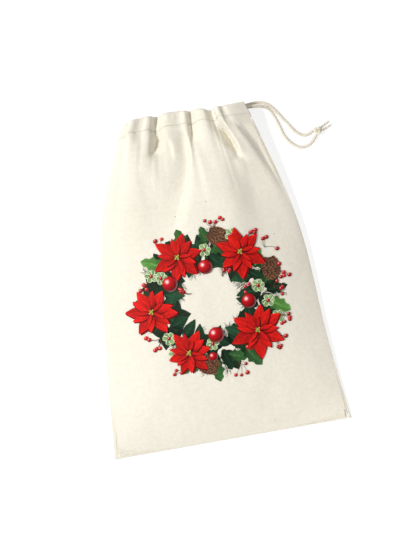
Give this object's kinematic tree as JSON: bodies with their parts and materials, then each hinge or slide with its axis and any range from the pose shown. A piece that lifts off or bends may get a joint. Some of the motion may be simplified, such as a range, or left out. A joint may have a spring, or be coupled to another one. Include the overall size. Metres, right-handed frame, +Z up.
{
  "type": "drawstring gift pouch",
  "caption": "Cotton canvas drawstring gift pouch lying flat, with a wreath printed on its front and a knotted cord that runs through the casing round its mouth.",
  "frame": {"origin": "on the resting surface, under the middle of the pouch's own box, the free cord left out", "axes": "+X across the pouch to the side where the cord comes out, +Y from the bottom seam to the mouth, +Z up, out of the printed face"},
  "size_m": [0.2816, 0.347, 0.0352],
  "materials": {
    "canvas": "unbleached cotton canvas, plain weave with small brown flecks",
    "seam": "raw folded edges of the same canvas",
    "thread": "spun cotton sewing thread",
    "cord": "twisted natural cotton cord",
    "print": "matt printed ink on the canvas"
  },
  "bodies": {
    "pouch": {"back_panel": "canvas", "back_casing": "canvas", "left_casing_fold": "canvas", "left_side_seam": "seam", "right_side_seam": "seam", "bottom_seam": "seam", "back_casing_stitch": "thread", "bottom_stitch": "thread", "left_side_stitch": "thread", "right_side_stitch": "thread", "back_opening_bartack": "thread", "drawcord_left_turn": "cord"},
    "front": {"front_panel": "canvas", "front_casing": "canvas", "front_casing_stitch": "thread", "front_opening_bartack": "thread", "wreath_print": "print"},
    "cord": {"drawcord_back_cased": "cord", "drawcord_back_run": "cord", "drawcord_front_run": "cord", "drawcord_knot": "cord", "drawcord_upper_tail": "cord", "drawcord_lower_tail": "cord"},
    "cord_front": {"drawcord_front_cased": "cord"}
  },
  "joints": [
    {"name": "mouth_open", "type": "hinge", "parent": "pouch", "child": "front", "pos_m": [0, -0.1735, 0.0026], "axis": [1, 0, 0], "range_deg": [0, 8]},
    {"name": "cord_pull", "type": "slide", "parent": "pouch", "child": "cord", "axis": [1, 0, 0], "range_m": [0, 0.04]},
    {"name": "cord_front_lift", "type": "hinge", "parent": "cord", "child": "cord_front", "pos_m": [0, -0.1735, 0.0026], "axis": [1, 0, 0], "range_deg": [0, 8]}
  ],
  "couplings": [
    {"joint": "cord_front_lift", "follows": "mouth_open", "ratio": 1}
  ]
}
